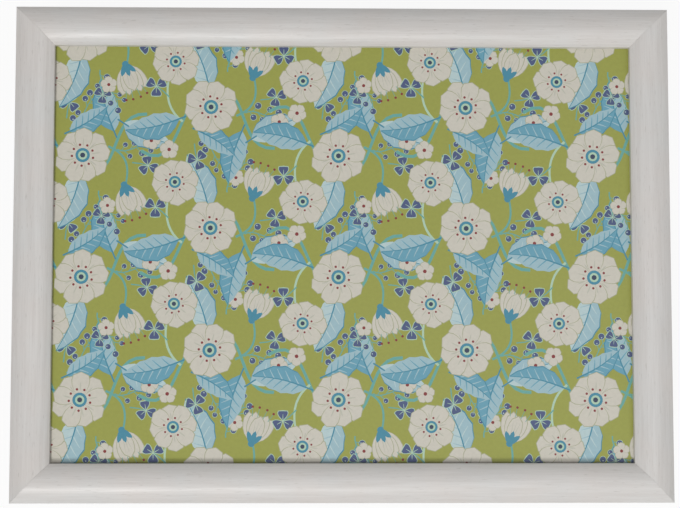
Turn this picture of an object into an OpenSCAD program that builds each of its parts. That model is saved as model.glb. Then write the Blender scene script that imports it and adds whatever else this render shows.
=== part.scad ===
// Lap desk with a lift lid: a mitred, framed and printed board hinged on a shallow
// storage box, with a bead-filled cushion under it. Millimetres, +Z up. The origin is
// at the centre of the cushion's flat underside, and the user sits on the -Y side.

/* [Lid] */
// Outside width of the lid frame, left to right
frame_w = 440; // [360:1:520]
// Outside depth of the lid frame, front to back
frame_d = 332; // [280:1:400]
// Width of the moulding, seen from above
rail_w = 26; // [24:0.5:28]
// Rise of the moulding's round crown above its two edges
crown_rise = 6.2; // [3:0.1:8]
// Height of the moulding's inner lip above the print
lip_h = 4.8; // [3:0.1:8]
// How far the moulding laps over the edge of the board
rebate_w = 6; // [4:0.5:7]
// Thickness of the printed laminate sheet
print_t = 0.5; // [0.4:0.1:1.5]
// Thickness of the board under the print
board_t = 3; // [2:0.5:5]
// Thickness of the backing card
backing_t = 2.5; // [1.5:0.5:4]
// Space left under the backing for the points that hold it
back_recess = 2; // [1.5:0.5:4]
// Gap around the boards inside the rebate
board_gap = 0.5; // [0.2:0.1:1]

/* [Framer's points and corner wedges] */
// Most distance between two points along a rail
point_pitch = 90; // [50:5:150]
// Length, width and thickness of a point
point_size = [10, 7, 0.5];
// Wood left between the tip of a point and the line of screws under the rail
point_web = 0.5; // [0.3:0.1:0.8]
// Length of one leg of a corner wedge in the lid frame
lid_wedge_leg = 3.6; // [2.5:0.1:4]
// Thickness of a corner wedge
wedge_t = 0.5; // [0.3:0.1:0.8]
// Height of a corner wedge in the lid frame
lid_wedge_h = 9; // [6:0.5:11]
// Length of one leg of a corner wedge in the box
box_wedge_leg = 2.2; // [1.5:0.1:2.6]
// Height of a corner wedge in the box
box_wedge_h = 16; // [8:1:24]

/* [Box] */
// How far the lid frame overhangs the box on every side
overhang = 10; // [8:0.5:10.5]
// Height of the box walls
box_h = 38; // [30:1:60]
// Thickness of the box walls
wall_t = 9; // [8.5:0.5:9]
// Thickness of the box floor
floor_t = 4; // [3:0.5:6]
// How far the floor is let into the walls
floor_lap = 4.5; // [3:0.5:5]
// Gap around the floor in its rebate
floor_gap = 0.2; // [0.1:0.1:0.5]
// Thickness of the felt lining
lining_t = 1.5; // [1:0.5:3]
// Gap between the lining and the walls
lining_gap = 0.6; // [0.3:0.1:2]
// Length of the brads that hold the floor
brad_len = 14; // [8:1:20]
// Radius of a brad
brad_r = 0.6; // [0.4:0.1:0.8]
// Most distance between two brads
brad_pitch = 85; // [50:5:150]

/* [Hinges] */
// Distance from the end of the box to the middle of the hinge near it
hinge_inset = 80; // [40:1:120]
// Length of a hinge
hinge_len = 40; // [30:1:60]
// Thickness of a hinge leaf
leaf_t = 1; // [0.8:0.1:1.4]
// Space between the two leaves when the lid is shut
leaf_space = 0.4; // [0.3:0.1:0.8]
// Outside radius of the knuckles
knuckle_r = 2.2; // [2:0.1:2.4]
// Radius of the hinge pin
pin_r = 1; // [0.8:0.1:1.2]
// Distance from the back of the box to the hinge pin
pin_offset = 2.5; // [2.5:0.1:3]
// How far a leaf reaches over the wall
leaf_reach = 8.5; // [7:0.5:8.5]

/* [Screws] */
// Radius of the screw shank
screw_r = 1.1; // [0.8:0.1:1.3]
// Radius of the screw head
screw_head_r = 2.1; // [1.8:0.1:2.2]
// Length of a screw
screw_len = 9; // [6:0.5:10]

/* [Catch and pads] */
// Distance from the end of the box to the catch magnet near it
magnet_inset = 140; // [60:1:170]
// Radius of a catch magnet
magnet_r = 3; // [2:0.5:3.5]
// Depth of a magnet in the wall
magnet_depth = 4; // [3:0.5:8]
// Height of a magnet above the wall
magnet_proud = 1.1; // [0.5:0.1:1.2]
// Radius of a catch plate
plate_r = 5; // [4:0.5:6]
// Thickness of a catch plate
plate_t = 0.9; // [0.9:0.1:1]
// Radius of a felt pad
pad_r = 3.8; // [2.5:0.1:4.2]
// Distance from a corner of the box to the pad near it
pad_inset = 40; // [25:1:70]

/* [Cushion] */
// Height of the cushion under the box
cushion_h = 55; // [35:1:80]
// How far the cushion's top seam is set in from the box
seam_inset = 14; // [12:1:20]
// How far the side of the cushion swells past its top seam
side_swell = 9; // [3:0.5:12]
// How far the sides are drawn in between the corners
side_draw = 4; // [0:0.5:7]
// Corner radius of the cushion
cushion_corner = 42; // [25:1:60]
// Radius of the welt around the bottom seam
welt_r = 2.2; // [1.5:0.1:3]
// Height of the welt
welt_z = 15; // [10:0.5:18]
// Depth of the flat spot that the cushion's crowned underside stands on
flat_cut = 0.5; // [0.3:0.1:1]
// Thickness of the cloth flange between cushion and box
flange_t = 1.6; // [1:0.1:3]
// How far the edge of the flange is set in from the box
flange_inset = 3; // [2:0.5:6]
// Most distance between two staples
staple_pitch = 46; // [30:1:80]

/* [Fits] */
// Clearance of a nail, screw or wedge in its hole
hole_gap = 0.05; // [0.02:0.01:0.1]
// Running clearance between pin and lid knuckles
pin_gap = 0.05; // [0.02:0.01:0.1]
// Clearance between the knuckles along the pin
knuckle_gap = 0.25; // [0.2:0.05:0.4]
// Clearance around the knuckles in the lid's groove
groove_gap = 0.35; // [0.3:0.05:0.5]

/* [Hidden] */
$fn = 48;
e = 0.01;

// Heights of the parts above the cushion's underside
flange_z = cushion_h;
box_z = flange_z + flange_t;
wall_top_z = box_z + box_h;
lid_gap = 2 * leaf_t + leaf_space;
lid_z = wall_top_z + lid_gap;
axis_z = wall_top_z + lid_gap / 2;

// Moulding, from the boards that it holds
rebate_h = back_recess + backing_t + board_t + print_t;
edge_h = rebate_h + lip_h;
rail_h = edge_h + crown_rise;
crown_r = (pow(rail_w / 2, 2) + pow(crown_rise, 2)) / (2 * crown_rise);

// Plan sizes
sight_w = frame_w - 2 * rail_w;
sight_d = frame_d - 2 * rail_w;
board_w = sight_w + 2 * (rebate_w - board_gap);
board_d = sight_d + 2 * (rebate_w - board_gap);
box_w = frame_w - 2 * overhang;
box_d = frame_d - 2 * overhang;
inner_w = box_w - 2 * wall_t;
inner_d = box_d - 2 * wall_t;
floor_w = inner_w + 2 * (floor_lap - floor_gap);
floor_d = inner_d + 2 * (floor_lap - floor_gap);
wall_mid = wall_t / 2;
hinge_x = box_w / 2 - hinge_inset;
magnet_x = box_w / 2 - magnet_inset;

// Small hardware
wedge_angle = 35;
point_margin = 40;
screw_line = box_d / 2 - max(wall_t, leaf_reach) / 2;
point_drive = screw_line - screw_r - point_web - (sight_d / 2 + rebate_w);
brad_margin = 30;
brad_line = wall_t - floor_lap / 2;
brad_head_r = 2 * brad_r;
brad_head_t = 0.8;

// Hinge line and knuckles
axis_y = box_d / 2 + pin_offset;
leaf_w = pin_offset + leaf_reach;
knuckles = 5;
knuckle_len = hinge_len / knuckles;
leaf_screw_y = pin_offset + leaf_reach / 2;
screws_per_leaf = 3;
screw_step = (hinge_len - 5 * screw_head_r) / (screws_per_leaf - 1);

// Screws, with 45 degree countersunk heads
head_h = screw_head_r - screw_r;
screw_tip_h = 2;
screw_tip_r = 0.2;
cross_slot = [1.4 * screw_head_r, 0.5, 0.5];

// Cushion
flange_w = box_w - 2 * flange_inset;
flange_d = box_d - 2 * flange_inset;
top_a = box_w / 2 - seam_inset;
top_b = box_d / 2 - seam_inset;
staple_crown = 9;
staple_wire = 0.7;
staple_leg = flange_t + 3;
staple_gap = 0.6;
staple_inset = brad_line + brad_head_r + staple_gap + staple_wire / 2;

// Evenly spaced places along a side, at most `pitch` apart and `margin` from its ends
function spread(length, margin, pitch) =
    let (span = length - 2 * margin, n = max(1, ceil(span / pitch)))
    [for (i = [0 : n]) -span / 2 + i * span / n];

// Puts its children at the middle of each of the four sides: front, right, back, left.
// A child faces +Y from the side and sees that side's length as $side.
module on_four_sides(w, d) {
    for (k = [0 : 3]) {
        $side = k % 2 == 0 ? w : d;
        rotate([0, 0, k * 90]) translate([0, -(k % 2 == 0 ? d : w) / 2, 0]) children();
    }
}

// Puts its children at the four corners, turned so that +Y points at the centre
module on_four_corners(w, d) {
    for (k = [0 : 3])
        translate([(k == 0 || k == 3 ? -1 : 1) * w / 2, (k < 2 ? -1 : 1) * d / 2, 0])
            rotate([0, 0, k * 90 - 45]) children();
}

// Plan of one mitred rail or wall at the front, `t` wide
module mitre_plan(w, d, t) {
    polygon([[-w / 2, -d / 2], [w / 2, -d / 2], [w / 2 - t, -d / 2 + t], [-w / 2 + t, -d / 2 + t]]);
}

// Lid: moulding

module moulding_section() {
    difference() {
        intersection() {
            square([rail_w, rail_h]);
            translate([rail_w / 2, rail_h - crown_r]) circle(crown_r, $fn = 128);
        }
        translate([rail_w - rebate_w, -e]) square([rebate_w + 1, rebate_h + e]);
    }
}

module moulding(w, d) {
    intersection() {
        translate([-w / 2, -d / 2, 0])
            rotate([90, 0, 90]) linear_extrude(w) moulding_section();
        translate([0, 0, -1]) linear_extrude(rail_h + 2) mitre_plan(w, d, rail_w);
    }
}

module lid_rail(w, d, turn) {
    color([0.86, 0.85, 0.83]) difference() {
        translate([0, 0, lid_z]) rotate([0, 0, turn]) moulding(w, d);
        points(hole_gap);
        lid_wedges(hole_gap);
        if (turn == 180) hinge_grooves();
        if (turn == 180) hinge_screw_set("lid", hole_gap);
        if (turn == 0) plate_screw_set(hole_gap);
    }
}

// Lid: boards

module lid_sheet(z, t) {
    translate([-board_w / 2, -board_d / 2, lid_z + z]) cube([board_w, board_d, t]);
}

module print_sheet() {
    color([0.62, 0.64, 0.24]) lid_sheet(rebate_h - print_t, print_t);
}

module print_board() {
    color([0.45, 0.33, 0.22]) lid_sheet(back_recess + backing_t, board_t);
}

module backing_card() {
    color([0.72, 0.66, 0.56]) lid_sheet(back_recess, backing_t);
}

// Lid: points and corner wedges

module points(gap) {
    z = lid_z + back_recess - point_size[2];
    translate([0, 0, z - gap])
        on_four_sides(sight_w + 2 * rebate_w, sight_d + 2 * rebate_w)
            for (x = spread($side, point_margin, point_pitch))
                translate([x - point_size[1] / 2 - gap, -point_drive - gap, 0])
                    cube([point_size[1] + 2 * gap, point_size[0] + gap, point_size[2] + gap]);
}

module framer_points() {
    color([0.6, 0.6, 0.62]) points(0);
}

// A chevron of thin steel that straddles a mitre, its tip at the origin
module wedge(leg, h, gap) {
    for (s = [-1, 1])
        rotate([0, 0, s * wedge_angle]) translate([-wedge_t / 2 - gap, -gap, -gap])
            cube([wedge_t + 2 * gap, leg + 2 * gap, h + 2 * gap]);
}

module lid_wedges(gap) {
    mitre = (rail_w - rebate_w) * sqrt(2);
    translate([0, 0, lid_z]) on_four_corners(frame_w, frame_d)
        for (share = [0.28, 0.7])
            translate([0, share * mitre, 0]) wedge(lid_wedge_leg, lid_wedge_h, gap);
}

module lid_corner_wedges() {
    color([0.6, 0.6, 0.62]) lid_wedges(0);
}

// Screws

// A countersunk screw whose head is flush with z = 0 and whose tip points down
module screw(gap) {
    difference() {
        rotate_extrude() polygon([
            [0, 0], [screw_head_r + gap, 0], [screw_r + gap, -head_h],
            [screw_r + gap, screw_tip_h - screw_len - gap],
            [screw_tip_r + gap, -screw_len - gap], [0, -screw_len - gap]]);
        if (gap == 0) for (a = [45, 135]) rotate([0, 0, a])
            translate([-cross_slot[0] / 2, -cross_slot[1] / 2, -cross_slot[2]])
                cube([cross_slot[0], cross_slot[1], 1]);
    }
}

// The six screws of one side of both hinges: "box" screws point down, "lid" screws up
module hinge_screw_set(side, gap) {
    face = side == "box" ? leaf_t - lid_gap / 2 : lid_gap / 2 - leaf_t;
    for (s = [-1, 1], i = [0 : screws_per_leaf - 1])
        translate([s * hinge_x + (i - 1) * screw_step, axis_y - leaf_screw_y, axis_z + face])
            mirror([0, 0, side == "box" ? 0 : 1]) screw(gap);
}

module hinge_box_screws() {
    color([0.78, 0.66, 0.4]) hinge_screw_set("box", 0);
}

module hinge_lid_screws() {
    color([0.78, 0.66, 0.4]) hinge_screw_set("lid", 0);
}

// Hinges, modelled about their pin with the wall towards -Y

// A cylinder along X, centred on the pin
module along_pin(length, r) {
    rotate([0, 90, 0]) translate([0, 0, -length / 2]) cylinder(length, r = r);
}

// A leaf with knuckles where `i` is odd or even; `side` is -1 under the pin, 1 over it
module leaf(side, first, bore) {
    difference() {
        union() {
            translate([-hinge_len / 2, -leaf_w, side > 0 ? lid_gap / 2 - leaf_t : -lid_gap / 2])
                cube([hinge_len, leaf_w, leaf_t]);
            for (i = [first : 2 : knuckles - 1])
                translate([-hinge_len / 2 + (i + 0.5) * knuckle_len, 0, 0])
                    along_pin(knuckle_len - knuckle_gap, knuckle_r);
        }
        along_pin(hinge_len + 2, bore);
        for (i = [1 - first : 2 : knuckles - 1])
            translate([-hinge_len / 2 + (i + 0.5) * knuckle_len, 0, 0])
                leaf_notch();
        if (first == 0) leaf_notch_ends();
    }
}

// Room for one knuckle of the other leaf
module leaf_notch() {
    reach = knuckle_r + groove_gap;
    translate([-knuckle_len / 2 - knuckle_gap / 2, -reach, -reach])
        cube([knuckle_len + knuckle_gap, 2 * reach, 2 * reach]);
}

// Trims the leaf to the length of its end knuckles
module leaf_notch_ends() {
    reach = knuckle_r + groove_gap;
    for (s = [-1, 1])
        translate([s * (hinge_len / 2 + knuckle_len / 2 - knuckle_gap / 2), 0, 0])
            translate([-knuckle_len / 2, -reach, -reach])
                cube([knuckle_len, 2 * reach, 2 * reach]);
}

module at_hinge(side) {
    translate([side * hinge_x, axis_y, axis_z]) children();
}

module box_leaf(side) {
    color([0.8, 0.68, 0.42]) difference() {
        at_hinge(side) leaf(-1, 0, pin_r + hole_gap / 2);
        hinge_screw_set("box", hole_gap);
    }
}

module lid_leaf(side) {
    color([0.8, 0.68, 0.42]) difference() {
        at_hinge(side) leaf(1, 1, pin_r + pin_gap);
        hinge_screw_set("lid", hole_gap);
    }
}

module hinge_pin(side) {
    color([0.7, 0.6, 0.38]) at_hinge(side) along_pin(hinge_len - knuckle_gap, pin_r);
}

// Grooves under the back rail that clear the knuckles
module hinge_grooves() {
    for (side = [-1, 1])
        at_hinge(side) along_pin(hinge_len + 1, knuckle_r + groove_gap);
}

// Catch: magnets in the front wall and steel plates under the front rail

module at_magnets() {
    for (s = [-1, 1])
        translate([s * magnet_x, -box_d / 2 + wall_mid, wall_top_z]) children();
}

module magnet_solids(gap) {
    at_magnets() translate([0, 0, -magnet_depth - gap])
        cylinder(magnet_depth + magnet_proud + gap, r = magnet_r + gap);
}

module catch_magnets() {
    color([0.75, 0.76, 0.78]) magnet_solids(0);
}

module plate_screw_set(gap) {
    at_magnets() translate([0, 0, lid_gap - plate_t]) mirror([0, 0, 1]) screw(gap);
}

module catch_plates() {
    color([0.7, 0.71, 0.73]) difference() {
        at_magnets() translate([0, 0, lid_gap - plate_t]) cylinder(plate_t, r = plate_r);
        plate_screw_set(hole_gap);
    }
}

module catch_plate_screws() {
    color([0.66, 0.67, 0.7]) plate_screw_set(0);
}

// Felt pads on the top edge of the box that hold the lid level
module felt_pads() {
    pad_gap = 0.1;
    color([0.55, 0.55, 0.53])
        for (sx = [-1, 1], sy = [-1, 1])
            translate([sx * (box_w / 2 - wall_mid), sy * (box_d / 2 - pad_inset), wall_top_z])
                cylinder(lid_gap - pad_gap, r = pad_r);
}

// Box

module floor_pocket() {
    translate([-inner_w / 2 - floor_lap, -inner_d / 2 - floor_lap, box_z - e])
        cube([inner_w + 2 * floor_lap, inner_d + 2 * floor_lap, floor_t + e]);
}

module box_wall(w, d, turn) {
    color([0.86, 0.85, 0.83]) difference() {
        translate([0, 0, box_z]) rotate([0, 0, turn])
            linear_extrude(box_h) mitre_plan(w, d, wall_t);
        floor_pocket();
        box_wedges(hole_gap);
        brads(hole_gap);
        if (turn == 180) hinge_screw_set("box", hole_gap);
        if (turn == 0) magnet_solids(hole_gap);
    }
}

// One wedge in each corner of the box, driven up from the ledge over the floor
module box_wedges(gap) {
    mitre = wall_t * sqrt(2);
    translate([0, 0, box_z + floor_t]) on_four_corners(box_w, box_d)
        translate([0, mitre * 0.55, 0]) wedge(box_wedge_leg, box_wedge_h, gap);
}

module box_corner_wedges() {
    color([0.6, 0.6, 0.62]) box_wedges(0);
}

module box_floor() {
    color([0.52, 0.4, 0.28]) difference() {
        translate([-floor_w / 2, -floor_d / 2, box_z]) cube([floor_w, floor_d, floor_t]);
        brads(hole_gap);
        staple_legs(hole_gap);
    }
}

// Brads through the floor into the ledge of the walls, their heads flush below
module brads(gap) {
    translate([0, 0, box_z - gap]) on_four_sides(box_w, box_d)
        for (x = spread($side, wall_t + brad_margin, brad_pitch))
            translate([x, brad_line, 0]) {
                cylinder(brad_head_t + 2 * gap, r = brad_head_r + gap);
                cylinder(brad_len + 2 * gap, r = brad_r + gap);
            }
}

module floor_brads() {
    color([0.62, 0.62, 0.64]) brads(0);
}

module felt_lining() {
    w = inner_w - 2 * lining_gap;
    d = inner_d - 2 * lining_gap;
    color([0.42, 0.45, 0.47]) translate([-w / 2, -d / 2, box_z + floor_t]) cube([w, d, lining_t]);
}

// Cushion

// Point on a rounded rectangle with half sizes a and b and corner radius r, where t
// runs from 0 to 1 around it, with its four sides drawn in by `draw` at their middles
function outline(a, b, r, draw, t) =
    let (quarter = floor(t * 4) % 4, s = t * 4 - floor(t * 4),
         sx = quarter == 0 || quarter == 3 ? 1 : -1, sy = quarter < 2 ? 1 : -1,
         u = quarter % 2 == 0 ? s : 1 - s,
         p = quarter_point(a, b, r, u),
         in_x = draw * pow(max(0, 1 - abs(p[1]) / b), 0.7),
         in_y = draw * pow(max(0, 1 - abs(p[0]) / a), 0.7))
    [sx * (p[0] - in_x * side_part(p[0], a, r)), sy * (p[1] - in_y * side_part(p[1], b, r))];

// 1 on the straight side at p = a, easing to 0 at the start of the other side
function side_part(p, a, r) = max(0, min(1, (p - (a - r)) / r));

// One quarter of the outline, from the middle of the side x = a to the middle of y = b
function quarter_point(a, b, r, u) =
    let (straight = 0.3)
    u < straight ? [a, (b - r) * u / straight]
    : u > 1 - straight ? [(a - r) * (1 - u) / straight, b]
    : let (g = 90 * (u - straight) / (1 - 2 * straight)) [a - r + r * cos(g), b - r + r * sin(g)];

// Rings of the cushion from the ground up: height, how far out from the top seam, and
// share of the ring's full size. The underside is a crown with its tip cut flat, then
// come the welt and the swollen side, which tucks in under the box.
welt_steps = 4;
side_steps = 7;
belly_steps = 5;
around = 64;
tuck_in = 3;
seam_out = side_swell * 0.45;
belly_h = welt_z - welt_r;
belly_start = acos(belly_h / (belly_h + flat_cut));
side_h = cushion_h - welt_z - welt_r;
rings = concat(
    [for (i = [0 : belly_steps - 1])
        let (g = belly_start + (90 - belly_start) * i / belly_steps)
        [belly_h - (belly_h + flat_cut) * cos(g), seam_out, sqrt(sin(g))]],
    [for (i = [0 : welt_steps])
        let (g = -90 + 180 * i / welt_steps)
        [welt_z + welt_r * sin(g), seam_out + welt_r * cos(g), 1]],
    [for (i = [1 : side_steps])
        let (s = i / side_steps)
        [welt_z + welt_r + side_h * s,
         seam_out * (1 - s) + side_swell * sin(180 * s) - tuck_in * pow(s, 6), 1]]);

module cushion() {
    points = [for (ring = rings, k = [0 : around - 1])
        let (p = outline(top_a + ring[1], top_b + ring[1], cushion_corner + ring[1],
                         side_draw, k / around))
        [p[0] * ring[2], p[1] * ring[2], ring[0]]];
    last = (len(rings) - 1) * around;
    sides = [for (j = [0 : len(rings) - 2], k = [0 : around - 1])
        let (a = j * around + k, b = j * around + (k + 1) % around)
        each [[a, a + around, b], [b, a + around, b + around]]];
    color([0.82, 0.79, 0.72])
        polyhedron(points, concat([[for (k = [0 : around - 1]) k]], sides,
                                  [[for (k = [around - 1 : -1 : 0]) last + k]]));
}

module cushion_flange() {
    color([0.78, 0.75, 0.68]) difference() {
        translate([-flange_w / 2, -flange_d / 2, flange_z]) cube([flange_w, flange_d, flange_t]);
        staple_legs(hole_gap);
    }
}

// Staples, their crowns under the flange and their legs up into the floor
module at_staples() {
    translate([0, 0, flange_z]) on_four_sides(box_w, box_d)
        for (x = spread($side, cushion_corner, staple_pitch))
            translate([x, staple_inset, 0]) children();
}

module staple_leg_pair(gap) {
    side = staple_wire + 2 * gap;
    for (s = [-1, 1])
        translate([s * (staple_crown - staple_wire) / 2 - side / 2, -side / 2, -staple_wire])
            cube([side, side, staple_leg + staple_wire + gap]);
}

module staple_legs(gap) {
    at_staples() staple_leg_pair(gap);
}

module cushion_staples() {
    color([0.7, 0.7, 0.72]) at_staples() {
        staple_leg_pair(0);
        translate([-staple_crown / 2, -staple_wire / 2, -staple_wire])
            cube([staple_crown, staple_wire, staple_wire]);
    }
}

// Nodes

lid_rail(frame_w, frame_d, 0);  // lid_rail_front
lid_rail(frame_w, frame_d, 180);  // lid_rail_back
lid_rail(frame_d, frame_w, 270);  // lid_rail_left
lid_rail(frame_d, frame_w, 90);  // lid_rail_right
print_sheet();
print_board();
backing_card();
framer_points();
lid_corner_wedges();
lid_leaf(-1);  // hinge_lid_leaf_left
lid_leaf(1);  // hinge_lid_leaf_right
hinge_lid_screws();
catch_plates();
catch_plate_screws();
box_wall(box_w, box_d, 0);  // box_wall_front
box_wall(box_w, box_d, 180);  // box_wall_back
box_wall(box_d, box_w, 270);  // box_wall_left
box_wall(box_d, box_w, 90);  // box_wall_right
box_corner_wedges();
box_floor();
floor_brads();
felt_lining();
box_leaf(-1);  // hinge_box_leaf_left
box_leaf(1);  // hinge_box_leaf_right
hinge_pin(-1);  // hinge_pin_left
hinge_pin(1);  // hinge_pin_right
hinge_box_screws();
catch_magnets();
felt_pads();
cushion_flange();
cushion_staples();
cushion();
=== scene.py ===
# Lap desk with a lift lid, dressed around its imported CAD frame. Metres, +Z up, the
# user sits on the -Y side. The washed wooden rails and walls, the boards and the
# hardware are CAD nodes with finishes; the print, the felt and the cushion are made here.
import math
import random

import bpy
import bmesh
from mathutils import Matrix, Vector
from mathutils.geometry import delaunay_2d_cdt

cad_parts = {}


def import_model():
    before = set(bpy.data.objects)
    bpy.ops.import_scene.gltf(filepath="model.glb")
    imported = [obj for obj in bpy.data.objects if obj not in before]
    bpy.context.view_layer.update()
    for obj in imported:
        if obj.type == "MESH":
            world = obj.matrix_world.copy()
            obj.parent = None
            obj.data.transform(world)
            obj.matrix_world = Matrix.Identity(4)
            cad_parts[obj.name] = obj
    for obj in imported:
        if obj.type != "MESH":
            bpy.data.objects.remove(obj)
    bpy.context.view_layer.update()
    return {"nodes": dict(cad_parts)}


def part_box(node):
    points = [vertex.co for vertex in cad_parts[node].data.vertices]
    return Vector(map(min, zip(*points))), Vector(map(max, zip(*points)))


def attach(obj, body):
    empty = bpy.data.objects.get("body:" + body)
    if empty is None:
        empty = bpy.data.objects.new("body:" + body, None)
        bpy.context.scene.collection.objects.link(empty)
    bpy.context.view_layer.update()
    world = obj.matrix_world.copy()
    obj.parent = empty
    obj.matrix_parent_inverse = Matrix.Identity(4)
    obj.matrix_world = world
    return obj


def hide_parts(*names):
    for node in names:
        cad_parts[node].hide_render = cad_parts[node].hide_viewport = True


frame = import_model()
nodes = frame["nodes"]
MM = 0.001

# Lowest and highest corners of the CAD pieces that the new ones are measured from
front_rail_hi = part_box("lid_rail_front")[1]
left_rail_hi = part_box("lid_rail_left")[1]
print_lo, print_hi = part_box("print_sheet")
lining_lo, lining_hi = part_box("felt_lining")
flange_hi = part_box("cushion_flange")[1]
cushion_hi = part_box("cushion")[1]
pads_lo, pads_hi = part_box("felt_pads")
wall_lo, wall_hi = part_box("box_wall_left")


# Shader helpers

def linear(colour):
    """sRGB from 0 to 255, as linear light with alpha."""
    out = []
    for level in colour:
        level /= 255
        out.append(level / 12.92 if level <= 0.04045 else ((level + 0.055) / 1.055) ** 2.4)
    return (*out, 1.0)


class Nodes:
    """A node tree, with short calls for the nodes that this script uses."""

    def __init__(self, tree):
        self.tree = tree

    def set(self, node, sockets):
        """Links or sets inputs of a node, each given by its name or its number."""
        for name, value in sockets.items():
            if isinstance(value, bpy.types.NodeSocket):
                self.tree.links.new(value, node.inputs[name])
            else:
                node.inputs[name].default_value = value

    def add(self, kind, sockets, **settings):
        node = self.tree.nodes.new("ShaderNode" + kind)
        for name, value in settings.items():
            setattr(node, name, value)
        self.set(node, sockets)
        return node

    def place(self, scale=(1, 1, 1), turn=0.0):
        """Position in the object, scaled and turned about Z."""
        where = self.add("TexCoord", {}).outputs["Object"]
        sockets = {"Vector": where, "Scale": scale, "Rotation": (0, 0, turn)}
        return self.add("Mapping", sockets).outputs["Vector"]

    def uv(self, name, scale):
        """Place in a UV map, scaled."""
        where = self.add("UVMap", {}, uv_map=name).outputs["UV"]
        return self.add("Mapping", {"Vector": where, "Scale": scale}).outputs["Vector"]

    def noise(self, where, scale, detail=3.0, rough=0.5, distortion=0.0):
        """Noise from 0 to 1, with scale cells to the metre."""
        sockets = {"Vector": where, "Scale": scale, "Detail": detail, "Roughness": rough,
                   "Distortion": distortion}
        return self.add("TexNoise", sockets).outputs["Fac"]

    def ramp(self, fac, *stops):
        """A ramp with a stop for each (position, colour) given."""
        node = self.add("ValToRGB", {"Fac": fac})
        elements = node.color_ramp.elements
        while len(elements) < len(stops):
            elements.new(0.5)
        for element, (position, colour) in zip(elements, stops):
            element.position = position
            element.color = colour
        return node.outputs["Color"]

    def levels(self, fac, low, high, out_low, out_high):
        """What runs from low to high, made to run from out_low to out_high."""
        sockets = {"Value": fac, "From Min": low, "From Max": high, "To Min": out_low,
                   "To Max": out_high}
        return self.add("MapRange", sockets).outputs["Result"]

    def mix(self, fac, a, b, blend="MIX"):
        """Two colours mixed. Inputs 6 and 7 and output 2 are the node's colour ones."""
        node = self.add("Mix", {0: fac, 6: a, 7: b}, data_type="RGBA", blend_type=blend)
        return node.outputs[2]

    def math(self, operation, a, b=0.0):
        return self.add("Math", {0: a, 1: b}, operation=operation).outputs[0]

    def axes(self, where):
        return self.add("SeparateXYZ", {"Vector": where}).outputs

    def bump(self, height, distance, strength, under=None):
        """A normal from a height from 0 to 1 that stands for distance in metres."""
        sockets = {"Height": height, "Distance": distance, "Strength": strength}
        if under is not None:
            sockets["Normal"] = under
        return self.add("Bump", sockets).outputs["Normal"]

    def backdrop_rays(self):
        """1 for a ray from the camera, or one that gloss or glass has sent on, else 0."""
        rays = self.add("LightPath", {}).outputs
        seen = self.math("MAXIMUM", rays["Is Camera Ray"], rays["Is Glossy Ray"])
        return self.math("MAXIMUM", seen, rays["Is Transmission Ray"])


class Shader(Nodes):
    """A material around one surface shader, whose plain inputs are given at the start."""

    def __init__(self, name, sockets):
        self.material = bpy.data.materials.new(name)
        self.material.use_nodes = True
        super().__init__(self.material.node_tree)
        self.surface = self.tree.nodes["Principled BSDF"]
        self.set(self.surface, sockets)

    def finish(self, **sockets):
        """Links the outputs given to the surface shader and returns the material."""
        names = {"colour": "Base Color", "roughness": "Roughness", "normal": "Normal"}
        self.set(self.surface, {names[k]: v for k, v in sockets.items()})
        return self.material


# Materials

WOOD_EASE = 0.45 * MM
THREAD = 0.9 * MM
PIPING_THREAD = 0.7 * MM
# Widths of the painted shade along the print's front and left lips
FRONT_PAINTED_SHADE = 1.5 * MM
LEFT_PAINTED_SHADE = 1.1 * MM


def washed_wood(name, along):
    """White-washed open-grained wood, its grain along the axis given. Its sharp edges are
    eased in the shading."""
    s = Shader(name, {"Specular IOR Level": 0.55})

    def grain(stretch, *look):
        scale = [1.0, 1.0, 1.0]
        scale["XYZ".index(along)] = stretch
        return s.noise(s.place(scale), *look)
    fine = grain(0.028, 1150, 5, 0.62, 0.4)
    broad = grain(0.05, 210, 3, 0.55, 0.8)
    pores = grain(0.09, 1700, 2, 0.4)
    blotch = s.noise(s.place(), 26, 2)
    wash = s.ramp(fine, (0.3, linear((203, 199, 196))), (0.62, linear((217, 214, 212))))
    tone = s.ramp(broad, (0.32, linear((205, 201, 198))), (0.66, linear((218, 216, 214))))
    colour = s.mix(0.5, wash, tone)
    warmth = s.ramp(blotch, (0.35, (1.0, 0.985, 0.97, 1)), (0.65, (0.985, 1.0, 1.0, 1)))
    colour = s.mix(1.0, colour, warmth, "MULTIPLY")
    line = s.levels(pores, 0.25, 0.35, 0.34, 0.0)
    colour = s.mix(line, colour, linear((158, 150, 143)))
    height = s.math("SUBTRACT", s.math("ADD", fine, s.math("MULTIPLY", broad, 0.6)), line)
    rough = s.levels(fine, 0.3, 0.7, 0.44, 0.34)
    eased = s.add("Bevel", {"Radius": WOOD_EASE}, samples=6).outputs["Normal"]
    return s.finish(colour=colour, roughness=rough,
                    normal=s.bump(height, 0.00007, 0.45, under=eased))


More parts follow.
